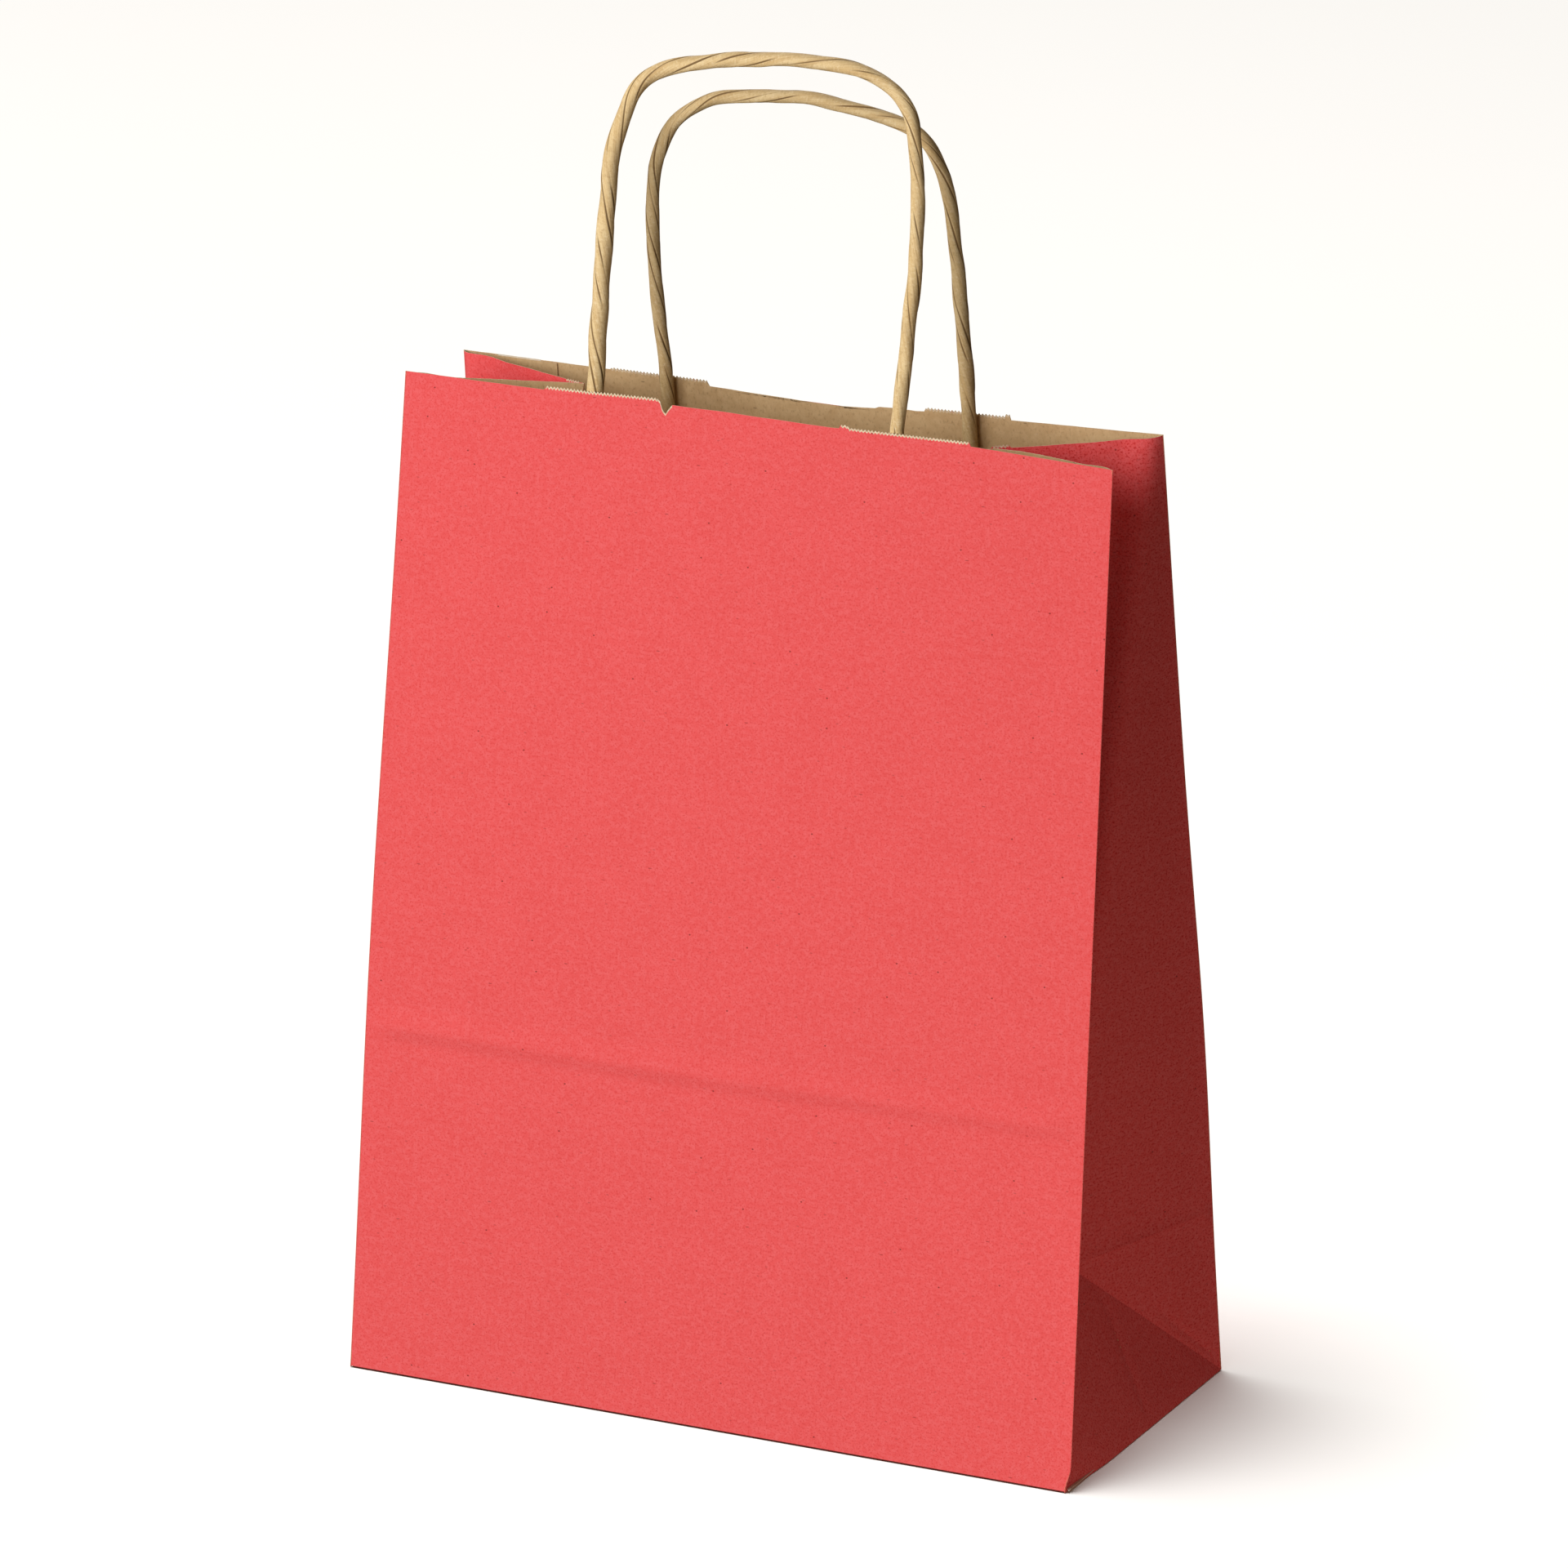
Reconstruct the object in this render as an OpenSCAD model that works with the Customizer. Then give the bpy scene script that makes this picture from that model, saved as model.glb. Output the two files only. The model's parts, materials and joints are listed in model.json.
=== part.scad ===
// Paper gift bag: block bottom, side gussets and two twisted-paper handles.
// Millimetres. +Z up, origin at the middle of the base, the wide panels face -Y and +Y.
// The bag stands as it does on a shelf: bottom flat, mouth drawn partly together.

/* [Bag] */
// Width of the front and back panels
bag_w = 240; // [180:5:320]
// Depth of the bottom from front crease to back crease
bag_d = 110; // [80:5:140]
// Height of the panels, measured along the paper
panel_h = 310; // [240:5:420]
// Distance between the front and back panels at the mouth
mouth_gap = 36; // [30:1:60]
// Thickness of one sheet of paper
paper_t = 0.2; // [0.15:0.05:0.3]
// Thickness of a film of dry paste
paste_t = 0.1; // [0.05:0.05:0.15]

/* [Bottom] */
// Length of the front bottom flap from its crease
front_flap_len = 66; // [60:1:70]
// Length of the back bottom flap from its crease
back_flap_len = 66; // [60:1:70]
// Clearance between the bottom flaps and the creases around them
flap_inset = 0.6; // [0.4:0.1:1.5]

/* [Side seam] */
// Width of the lap where the paper tube is pasted shut
seam_w = 33; // [15:1:40]
// Distance of the lap from the side crease
seam_inset = 2.6; // [2.4:0.1:4]

/* [Handles] */
// Diameter of the twisted paper cord
cord_d = 4.4; // [3.5:0.1:5]
// Height of the handle's bending line above the panel's top edge
pivot_rise = 4.5; // [2.8:0.1:6]
// Inward lean of both handles from the vertical
handle_lean = 6; // [5:0.5:6.5]
// Length of cord pasted between the two patches
cord_grip = 38; // [25:1:45]

/* [Handle patches] */
// Width of a patch
patch_w = 146; // [130:1:160]
// Height of a patch
patch_h = 45; // [35:1:60]
// Distance of the patch's top edge below the panel's top edge
patch_drop = 12; // [8:1:25]

/* [Fold clearances] */
// Clearance of a gusset sheet from the crease it turns about
crease_gap = 0.4; // [0.4:0.05:0.8]
// Clearance of a lower gusset sheet from its diagonal crease at the vertex
vertex_gap = 2.6; // [2.4:0.1:4]
// Clearance of an upper gusset sheet from the open centre crease at the mouth
centre_gap = 11.2; // [11:0.2:14]

/* [Hidden] */

$fn = 32;
half_d = bag_d / 2;
cord_r = cord_d / 2;
red = [0.92, 0.36, 0.37];
red_shade = [0.80, 0.28, 0.29];
kraft = [0.70, 0.57, 0.42];
cord_tan = [0.80, 0.67, 0.46];
paste_white = [0.90, 0.88, 0.82];

// Lean of the walls, which draws the mouth from bag_d down to mouth_gap.
wall_lean = asin((half_d - mouth_gap / 2) / panel_h);

// The base triangle and the lower gusset sheets lean in by the same angle, because the
// vertex stays at its own distance from both top corners.
vertex_lean = acos((1 - sin(wall_lean)) / cos(wall_lean));

// Points of one gusset half in its flat pattern: [0, distance from crease, height].
top_corner = [0, 0, panel_h];
vertex = [0, half_d, half_d];
top_centre = [0, half_d, panel_h];

// The upper sheet turns about the diagonal from vertex to top corner until the middle
// of its top edge reaches the bag's centre plane.
diag = (vertex - top_corner) / norm(vertex - top_corner);
diag_foot = top_corner + diag * ((top_centre - top_corner) * diag);
diag_arm = top_centre - diag_foot;
diag_reach = norm(diag_arm);

// World Y of a direction given in the lower sheet's frame.
function world_y(v) =
    (v[0] * sin(vertex_lean) + v[1] * cos(vertex_lean)) * cos(wall_lean)
    + v[2] * sin(wall_lean);

foot_y = world_y(diag_foot) - half_d;
arm_y = world_y(diag_arm / diag_reach);
side_y = world_y(cross(diag, diag_arm / diag_reach));
upper_fold = atan2(side_y, arm_y) - acos(-foot_y / (diag_reach * norm([arm_y, side_y])));

// Heights of the layers of the bottom, from the outside inwards.
flap_paste_z = paper_t;
front_flap_z = flap_paste_z + paste_t;
tuck_paste_z = front_flap_z + paper_t;
tuck_z = tuck_paste_z + paste_t;
base_stack = tuck_z + paper_t;

// Depths of the handle's layers behind the panel's outer face.
backing_y = paper_t + paste_t;
cord_y = backing_y + paper_t + cord_r + 0.02;
patch_top = panel_h - patch_drop;
stub_top = panel_h + pivot_rise - cord_r - 0.3;

// Handle outlines, [across, above the panel's top edge].
front_loop = [
    [-54, 4.5], [-53.7, 21], [-53.3, 38], [-52.6, 55], [-51.7, 70], [-49, 83], [-44.2, 94],
    [-36.5, 100.6], [-23.5, 104.7], [-5, 107.6], [10, 108.8], [27, 108.2], [38, 104.4],
    [44.5, 97.2], [47.2, 87.5], [48.6, 74.5], [49, 61], [48.4, 45], [47, 24], [45.5, 4.5]
];
back_loop = [
    [-45.5, 4.5], [-46.6, 19], [-47, 38], [-46.8, 50], [-45.8, 61], [-43.3, 71], [-37, 82.3],
    [-25.5, 90.2], [-13, 93.2], [3, 94.7], [19, 93.7], [36.5, 90.2], [45, 85.2],
    [50, 76.3], [52, 64], [53, 50], [54.2, 25], [54.5, 4.5]
];
cord_sides = 8;
cord_steps = 2;

// Catmull-Rom point at t on the piece of outline after point i.
function spline_point(p, i, t) =
    let (
        last = len(p) - 1,
        a = p[max(i - 1, 0)],
        b = p[i],
        c = p[min(i + 1, last)],
        d = p[min(i + 2, last)]
    )
    0.5 * (2 * b + (c - a) * t + (2 * a - 5 * b + 4 * c - d) * t * t
        + (3 * b - a - 3 * c + d) * t * t * t);

function smooth_path(p, steps) = [
    for (i = [0 : len(p) - 2], k = [0 : steps - 1]) spline_point(p, i, k / steps),
    p[len(p) - 1]
];

// Tangent of a planar path at point i; the two ends point straight up the legs.
function path_tangent(p, i) =
    let (
        last = len(p) - 1,
        d = p[min(i + 1, last)] - p[max(i - 1, 0)]
    )
    (i == 0) ? [0, 1] : (i == last) ? [0, -1] : d / norm(d);

// One ring of a tube around a path in the XZ plane.
function tube_ring(p, i, r, sides) =
    let (t = path_tangent(p, i))
    [for (k = [0 : sides - 1])
        let (a = 360 * (k + 0.5) / sides)
        [p[i][0] - r * cos(a) * t[1], r * sin(a), p[i][1] + r * cos(a) * t[0]]
    ];

// Closed tube along a planar path.
module planar_tube(p, r, sides) {
    n = len(p);
    points = [for (i = [0 : n - 1]) each tube_ring(p, i, r, sides)];
    walls = [
        for (i = [0 : n - 2], k = [0 : sides - 1])
            [i * sides + k, i * sides + (k + 1) % sides,
             (i + 1) * sides + (k + 1) % sides, (i + 1) * sides + k]
    ];
    first_cap = [for (k = [sides - 1 : -1 : 0]) k];
    last_cap = [for (k = [0 : sides - 1]) (n - 1) * sides + k];
    polyhedron(points = points, faces = concat([first_cap], walls, [last_cap]));
}

// Places a front wall drawn flat: X across, Z up the panel, Y = 0 its outer face.
module on_front_wall() {
    translate([0, -half_d, 0])
        rotate([-wall_lean, 0, 0])
            children();
}

module on_back_wall() {
    mirror([0, 1, 0])
        on_front_wall()
            children();
}

// A sheet drawn in XZ, thickened from its outer face towards +Y.
module wall_sheet(depth, thickness) {
    translate([0, depth + thickness, 0])
        rotate([90, 0, 0])
            linear_extrude(thickness)
                children();
}

// A sheet drawn in YZ, thickened from its outer face towards -X.
module side_sheet() {
    translate([-paper_t, 0, 0])
        rotate([90, 0, 90])
            linear_extrude(paper_t)
                children();
}

module panel() {
    wall_sheet(0, paper_t)
        translate([-bag_w / 2, base_stack])
            square([bag_w, panel_h - base_stack]);
}

// Lower gusset sheet: the triangle between side crease, base crease and diagonal.
module gusset_lower() {
    on_front_wall()
        translate([bag_w / 2, 0, 0])
            rotate([0, 0, vertex_lean])
                side_sheet()
                    polygon([
                        [crease_gap, 5 * crease_gap],
                        [crease_gap, panel_h - 15 * crease_gap],
                        [half_d - vertex_gap, half_d + 0.85 * vertex_gap]
                    ]);
}

// Upper gusset sheet: from the diagonal to the top edge and the open centre crease.
module gusset_upper() {
    run = panel_h - half_d;
    slope = half_d / run;
    taper = (centre_gap - vertex_gap) / run;
    tip_rise = (vertex_gap + crease_gap) / (slope - taper);
    on_front_wall()
        translate([bag_w / 2, 0, 0])
            rotate([0, 0, vertex_lean])
                translate(top_corner)
                    rotate(a = upper_fold, v = diag)
                        translate(-top_corner)
                            side_sheet()
                                polygon([
                                    [6 * crease_gap, panel_h],
                                    [half_d - centre_gap, panel_h],
                                    [half_d - vertex_gap - taper * tip_rise, half_d + tip_rise],
                                    [4 * crease_gap, panel_h - crease_gap]
                                ]);
}

// Base triangle of the right gusset: stands on the bottom's side crease, leaning in.
module base_triangle() {
    translate([bag_w / 2, 0, 0])
        rotate([0, -vertex_lean, 0])
            side_sheet()
                polygon([
                    [-half_d + 2, base_stack + crease_gap],
                    [half_d - 2, base_stack + crease_gap],
                    [0, half_d - 1.25 * vertex_gap]
                ]);
}

// Bottom flap with both corners cut at 45 degrees, lying from the front crease inwards.
module bottom_flap(length) {
    w = bag_w / 2 - flap_inset;
    y = half_d - flap_inset;
    cut = length - half_d;
    translate([0, -y])
        polygon([
            [-w, 0], [w, 0],
            [w, y], [w - cut, length],
            [cut - w, length], [-w, y]
        ]);
}

// Tucked side of the bottom: the trapezoid folded in under the flaps.
module bottom_tuck() {
    y = half_d - flap_inset;
    tuck = half_d - 5 * flap_inset;
    polygon([
        [bag_w / 2 - flap_inset, -y], [bag_w / 2 - flap_inset, y],
        [bag_w / 2 - tuck, y - tuck + 5 * flap_inset],
        [bag_w / 2 - tuck, tuck - y - 5 * flap_inset]
    ]);
}

module patch_outline() {
    translate([-patch_w / 2, patch_top - patch_h])
        square([patch_w, patch_h]);
}

// Cover sheet with a rounded channel over each cord end.
module patch_cover(legs) {
    sheet_y = backing_y + paper_t;
    translate([0, 0, patch_top - patch_h])
        linear_extrude(patch_h)
            difference() {
                union() {
                    translate([-patch_w / 2, sheet_y])
                        square([patch_w, paper_t]);
                    for (x = legs)
                        translate([x, cord_y])
                            circle(r = cord_r + 0.05 + paper_t);
                }
                for (x = legs)
                    translate([x, cord_y])
                        circle(r = cord_r + 0.05);
                translate([-patch_w / 2, sheet_y - bag_d])
                    square([patch_w, bag_d]);
            }
}

// The pasted ends of a handle, up to just below the bending line.
module cord_ends(legs) {
    for (x = legs)
        translate([x, cord_y, patch_top - cord_grip])
            cylinder(r = cord_r, h = stub_top - patch_top + cord_grip);
}

// Free loop of a handle, tilted about the bending line to its own lean.
module handle_loop(outline) {
    path = smooth_path([for (q = outline) q - [0, pivot_rise]], cord_steps);
    translate([0, cord_y, panel_h + pivot_rise])
        rotate([wall_lean - handle_lean, 0, 0])
            union() {
                planar_tube(path, cord_r, cord_sides);
                for (x = legs_of(outline))
                    translate([x, 0, 0])
                        sphere(r = cord_r - 0.05);
            }
}

function legs_of(outline) = [outline[0][0], outline[len(outline) - 1][0]];

module front_panel() {
    color(red)
        on_front_wall()
            panel();
}

module back_panel() {
    color(red)
        on_back_wall()
            panel();
}

module right_gusset_front_lower() {
    color(red_shade)
        gusset_lower();
}

module right_gusset_front_upper() {
    color(red_shade)
        gusset_upper();
}

module right_gusset_back_lower() {
    color(red_shade)
        mirror([0, 1, 0])
            gusset_lower();
}

module right_gusset_back_upper() {
    color(red_shade)
        mirror([0, 1, 0])
            gusset_upper();
}

module left_gusset_front_lower() {
    color(red_shade)
        mirror([1, 0, 0])
            gusset_lower();
}

module left_gusset_front_upper() {
    color(red_shade)
        mirror([1, 0, 0])
            gusset_upper();
}

module left_gusset_back_lower() {
    color(red_shade)
        mirror([1, 0, 0])
            mirror([0, 1, 0])
                gusset_lower();
}

module left_gusset_back_upper() {
    color(red_shade)
        mirror([1, 0, 0])
            mirror([0, 1, 0])
                gusset_upper();
}

module right_base_triangle() {
    color(red_shade)
        base_triangle();
}

module left_base_triangle() {
    color(red_shade)
        mirror([1, 0, 0])
            base_triangle();
}

module bottom_back_flap() {
    color(red)
        linear_extrude(paper_t)
            mirror([0, 1])
                bottom_flap(back_flap_len);
}

module bottom_flap_paste() {
    color(paste_white)
        translate([0, 0, flap_paste_z])
            linear_extrude(paste_t)
                intersection() {
                    bottom_flap(front_flap_len);
                    mirror([0, 1])
                        bottom_flap(back_flap_len);
                }
}

module bottom_front_flap() {
    color(red)
        translate([0, 0, front_flap_z])
            linear_extrude(paper_t)
                bottom_flap(front_flap_len);
}

module bottom_tuck_paste() {
    color(paste_white)
        translate([0, 0, tuck_paste_z])
            linear_extrude(paste_t)
                for (side = [0, 1])
                    mirror([side, 0])
                        intersection() {
                            bottom_tuck();
                            bottom_flap(front_flap_len);
                        }
}

module right_bottom_tuck() {
    color(kraft)
        translate([0, 0, tuck_z])
            linear_extrude(paper_t)
                bottom_tuck();
}

module left_bottom_tuck() {
    color(kraft)
        translate([0, 0, tuck_z])
            linear_extrude(paper_t)
                mirror([1, 0])
                    bottom_tuck();
}

module seam_lap() {
    color(kraft)
        on_back_wall()
            wall_sheet(paper_t + paste_t, paper_t)
                translate([-bag_w / 2 + seam_inset, base_stack + 2])
                    square([seam_w - seam_inset, panel_h - base_stack - 2]);
}

module seam_paste() {
    color(paste_white)
        on_back_wall()
            wall_sheet(paper_t, paste_t)
                translate([-bag_w / 2 + seam_w / 2, base_stack + 2])
                    square([seam_w / 2 - 2, panel_h - base_stack - 4]);
}

module front_patch_paste() {
    color(paste_white)
        on_front_wall()
            wall_sheet(paper_t, paste_t)
                patch_outline();
}

module front_patch_backing() {
    color(kraft)
        on_front_wall()
            wall_sheet(backing_y, paper_t)
                patch_outline();
}

module front_patch_cover() {
    color(kraft)
        on_front_wall()
            patch_cover(legs_of(front_loop));
}

module front_cord_ends() {
    color(cord_tan)
        on_front_wall()
            cord_ends(legs_of(front_loop));
}

module front_handle_cord() {
    color(cord_tan)
        on_front_wall()
            handle_loop(front_loop);
}

module back_patch_paste() {
    color(paste_white)
        on_back_wall()
            wall_sheet(paper_t, paste_t)
                patch_outline();
}

module back_patch_backing() {
    color(kraft)
        on_back_wall()
            wall_sheet(backing_y, paper_t)
                patch_outline();
}

module back_patch_cover() {
    color(kraft)
        on_back_wall()
            patch_cover(legs_of(back_loop));
}

module back_cord_ends() {
    color(cord_tan)
        on_back_wall()
            cord_ends(legs_of(back_loop));
}

module back_handle_cord() {
    color(cord_tan)
        on_back_wall()
            handle_loop(back_loop);
}

front_panel();
back_panel();
right_gusset_front_lower();
right_gusset_front_upper();
right_gusset_back_lower();
right_gusset_back_upper();
left_gusset_front_lower();
left_gusset_front_upper();
left_gusset_back_lower();
left_gusset_back_upper();
right_base_triangle();
left_base_triangle();
bottom_back_flap();
bottom_flap_paste();
bottom_front_flap();
bottom_tuck_paste();
right_bottom_tuck();
left_bottom_tuck();
seam_lap();
seam_paste();
front_patch_paste();
front_patch_backing();
front_patch_cover();
front_cord_ends();
front_handle_cord();
back_patch_paste();
back_patch_backing();
back_patch_cover();
back_cord_ends();
back_handle_cord();
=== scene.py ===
"""Looks of the gift bag: creased paper sheets, twisted cords, floor, light and camera.

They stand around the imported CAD. Lengths inside this file are in millimetres, in the CAD frame,
and become metres when a mesh is made. A sheet is a grid of points on its outer face. A gusset half
is unfolded flat when the mouth is open.
"""

import json
import math

import bpy
import numpy as np
from mathutils import Matrix, Vector, noise


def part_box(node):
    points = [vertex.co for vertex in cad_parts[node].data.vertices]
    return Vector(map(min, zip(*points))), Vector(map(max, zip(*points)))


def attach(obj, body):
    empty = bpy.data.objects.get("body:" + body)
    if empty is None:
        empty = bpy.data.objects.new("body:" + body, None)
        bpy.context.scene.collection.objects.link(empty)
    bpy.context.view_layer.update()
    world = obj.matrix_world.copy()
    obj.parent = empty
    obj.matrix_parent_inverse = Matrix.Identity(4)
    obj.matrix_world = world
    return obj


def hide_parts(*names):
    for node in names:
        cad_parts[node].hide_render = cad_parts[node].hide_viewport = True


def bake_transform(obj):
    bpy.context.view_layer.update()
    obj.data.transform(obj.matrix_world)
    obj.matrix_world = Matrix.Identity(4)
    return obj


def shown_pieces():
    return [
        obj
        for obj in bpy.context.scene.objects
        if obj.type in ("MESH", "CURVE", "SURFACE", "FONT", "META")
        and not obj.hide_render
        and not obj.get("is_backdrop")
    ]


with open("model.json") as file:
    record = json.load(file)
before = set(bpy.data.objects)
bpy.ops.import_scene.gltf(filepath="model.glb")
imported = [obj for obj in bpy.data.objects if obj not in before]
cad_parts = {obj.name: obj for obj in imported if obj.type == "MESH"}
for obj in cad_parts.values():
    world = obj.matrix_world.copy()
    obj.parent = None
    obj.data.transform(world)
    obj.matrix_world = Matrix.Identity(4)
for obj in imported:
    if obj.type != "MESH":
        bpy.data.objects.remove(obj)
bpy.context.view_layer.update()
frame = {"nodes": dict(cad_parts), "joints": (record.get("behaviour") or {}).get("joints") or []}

MM = 0.001
JOINTS = {j["name"]: j for j in frame["joints"]}
SIDE, FACE = {1: "right", -1: "left"}, {-1: "front", 1: "back"}


def joint_point(name):
    return np.array(JOINTS[name]["pos_m"]) / MM


def box_mm(node):
    low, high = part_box(node)
    return np.array(low) / MM, np.array(high) / MM


# Sizes of the bag, from the frame.
HALF_W = box_mm("front_panel")[1][0]
HALF_D = -joint_point("mouth_front")[1]
TOP_CORNER = joint_point("right_front_diagonal_crease")
PANEL_H = math.hypot(TOP_CORNER[1] + HALF_D, TOP_CORNER[2])
LEAN = math.asin((TOP_CORNER[1] + HALF_D) / PANEL_H)
VERTEX_LEAN = math.acos((1 - math.sin(LEAN)) / math.cos(LEAN))
TOP_Z = TOP_CORNER[2]

PAPER, INNER_PAPER, COVER_PAPER, STRIP_PAPER = 0.22, 0.2, 0.18, 0.15  # thickness of the sheets
CORD_INWARD = 2.72  # from the wall's outer face to the cord's axis
PIVOT_RISE = 4.5  # height of the handle's hinge above the panel's top edge
HANDLE_LEAN = math.radians(6.0)
PATCH_LOW, PATCH_HIGH, PATCH_HALF_W = 253.0, 298.0, 73.0
CORD_BOTTOM = 261.0
FLAP_LENGTH, FLAP_INSET = 66.0, 0.6
BACK_FLAP_Z, FRONT_FLAP_Z, TUCK_Z = 0.0, 0.3, 0.6

FRONT_LOOP = [  # [across, above the panel's top edge], as in the CAD
    (-54, 4.5), (-53.7, 21), (-53.3, 38), (-52.6, 55), (-51.7, 70), (-49, 83), (-44.2, 94),
    (-36.5, 100.6), (-23.5, 104.7), (-5, 107.6), (10, 108.8), (27, 108.2), (38, 104.4),
    (44.5, 97.2), (47.2, 87.5),
    (48.6, 74.5), (49, 61), (48.4, 45), (47, 24), (45.5, 4.5),
]
BACK_LOOP = [
    (-45.5, 4.5), (-46.6, 19), (-47, 38), (-46.8, 50), (-45.8, 61), (-43.3, 71), (-37, 82.3),
    (-25.5, 90.2), (-13, 93.2), (3, 94.7), (19, 93.7), (36.5, 90.2), (45, 85.2), (50, 76.3),
    (52, 64), (53, 50),
    (54.2, 25), (54.5, 4.5),
]


# ---------------------------------------------------------------- small helpers

def smooth(t):
    t = np.clip(t, 0.0, 1.0)
    return t * t * (3 - 2 * t)


def bump(x, centre, width):
    return np.exp(-(((x - centre) / width) ** 2))


def noise_at(x, y, seed, size):
    """Smooth noise from about -1 to 1 at points of two arrays, its features about size mm across."""
    flat = [
        noise.noise(Vector((a / size + 17.3 * seed, b / size - 9.1 * seed, 3.7 * seed)))
        for a, b in zip(np.ravel(x), np.ravel(y))
    ]
    return np.reshape(flat, np.shape(x))


def unit(v):
    return v / np.linalg.norm(v, axis=-1, keepdims=True)


def turn(points, centre, axis, angles):
    """Turns points about an axis through centre, each by its own angle."""
    p = points - centre
    c, s = np.cos(angles)[..., None], np.sin(angles)[..., None]
    along = (p @ axis)[..., None] * axis
    return centre + along + (p - along) * c + np.cross(np.broadcast_to(axis, p.shape), p) * s


def grid_normals(grid):
    """Unit normals of a grid of points, the sense given by rows crossed with columns."""
    d_row, d_col = np.gradient(grid, axis=0), np.gradient(grid, axis=1)
    n = np.cross(d_col, d_row)
    length = np.linalg.norm(n, axis=-1, keepdims=True)
    weak = length[..., 0] < 1e-9
    n = n / np.maximum(length, 1e-9)
    if weak.any():
        mean = n[~weak].mean(0)
        n[weak] = mean / np.linalg.norm(mean)
    return n


# ---------------------------------------------------------------- the bag's own skew

CORNER_SHIFT = {  # how far the side edges wander in x, by (right, back, top)
    (0, 0, 0): -1.5, (1, 0, 0): 0.0, (0, 1, 0): 0.0, (1, 1, 0): 1.0,
    (0, 0, 1): 3.8, (1, 0, 1): -3.8, (0, 1, 1): 4.8, (1, 1, 1): -3.6,
}


def skew(p):
    """Narrows the mouth, bellies two side folds and curls one foot, by a few millimetres each."""
    x, y, z = p[..., 0], p[..., 1], p[..., 2]
    wz = np.clip(z / TOP_Z, 0, 1)
    reach = HALF_D - (HALF_D + TOP_CORNER[1]) * wz
    wx, wy = (x / HALF_W + 1) / 2, np.clip((y / reach + 1) / 2, 0, 1)
    shift = sum(
        d * (wx if r else 1 - wx) * (wy if b else 1 - wy) * (wz if t else 1 - wz)
        for (r, b, t), d in CORNER_SHIFT.items()
    )
    belly = 1.3 * bump(z, 115, 60) * smooth(wy) * np.clip(2 * wx - 1, 0, 1)
    belly = belly - 1.5 * bump(z, 135, 100) * smooth(1 - wy) * np.clip(1 - 2 * wx, 0, 1)
    curl = -1.6 * smooth((8 - z) / 8) * smooth((x - HALF_W + 25) / 25)
    curl = curl * smooth((30 - HALF_D - y) / 30)
    out = p.copy()
    out[..., 0] = x + shift + belly + curl
    return out


# ---------------------------------------------------------------- mesh makers

def mesh_object(name, points, faces, materials, face_material, uv=None, smooth_angle=40):
    mesh = bpy.data.meshes.new(name)
    mesh.from_pydata([tuple(p * MM) for p in points], [], faces)
    for m in materials:
        mesh.materials.append(m)
    mesh.polygons.foreach_set("material_index", np.asarray(face_material, np.int32))
    mesh.polygons.foreach_set("use_smooth", np.ones(len(faces), bool))
    if uv is not None:
        layer = mesh.uv_layers.new(name="paper")
        corner = np.zeros(len(mesh.loops), np.int32)
        mesh.loops.foreach_get("vertex_index", corner)
        layer.data.foreach_set("uv", (np.asarray(uv)[corner] * MM).astype(np.float32).ravel())
    mesh.validate()
    mesh.set_sharp_from_angle(angle=math.radians(smooth_angle))
    obj = bpy.data.objects.new(name, mesh)
    bpy.context.scene.collection.objects.link(obj)
    return obj


def sheet(
    name, grid, flat, outward, materials,
    cut_top=True, cut_sides=False, tooth_top=None, thickness=PAPER,
):
    """A closed thin sheet. grid is its outer face, flat its paper coordinates.

    outward is the sense of its normals. materials are outer, inner and cut edge. tooth_top marks
    the columns whose top row shows cut fibres.
    """
    rows, cols = grid.shape[:2]
    inner = grid - outward * thickness * grid_normals(grid)
    key = {}
    index = np.zeros((2, rows, cols), int)
    points, uv = [], []
    for layer, surface in enumerate((grid, inner)):
        for r in range(rows):
            for c in range(cols):
                k = (layer, *np.round(grid[r, c], 4))
                if k not in key:
                    key[k] = len(points)
                    points.append(surface[r, c])
                    uv.append(flat[r, c])
                index[layer, r, c] = key[k]
    faces, mats = [], []

    def add(loop, material):
        loop = [loop[i] for i in range(4) if loop[i] != loop[i - 1]]
        if len(set(loop)) >= 3:
            faces.append(loop)
            mats.append(material)

    flip = outward < 0
    for r in range(rows - 1):
        for c in range(cols - 1):
            for layer in (0, 1):
                around = ((r, c), (r, c + 1), (r + 1, c + 1), (r + 1, c))
                q = [index[layer, row, col] for row, col in around]
                if flip != (layer == 1):
                    q.reverse()
                is_tooth = tooth_top is not None and r == rows - 2 and tooth_top[c]
                add(q, 2 if is_tooth else layer)

    def rim(line, material, reverse):
        for (r0, c0), (r1, c1) in zip(line, line[1:]):
            q = [index[0, r0, c0], index[1, r0, c0], index[1, r1, c1], index[0, r1, c1]]
            if reverse:
                q.reverse()
            add(q, material)

    side = 2 if cut_sides else 0
    rim([(0, c) for c in range(cols)], side, not flip)
    rim([(rows - 1, c) for c in range(cols)], 2 if cut_top else side, flip)
    rim([(r, 0) for r in range(rows)], side, flip)
    rim([(r, cols - 1) for r in range(rows)], side, not flip)
    return mesh_object(name, points, faces, materials, mats, uv)


# ---------------------------------------------------------------- walls

def wall_point(x, v, inward=0.0, wall=-1):
    """A point of the front (-1) or back (1) wall: x across, v up the paper, inward from outside."""
    x, v, inward = np.broadcast_arrays(*(np.asarray(a, float) for a in (x, v, inward)))
    y = -HALF_D + inward * math.cos(LEAN) + v * math.sin(LEAN)
    z = v * math.cos(LEAN) - inward * math.sin(LEAN)
    return np.stack([x, -wall * y, z], -1)


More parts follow.
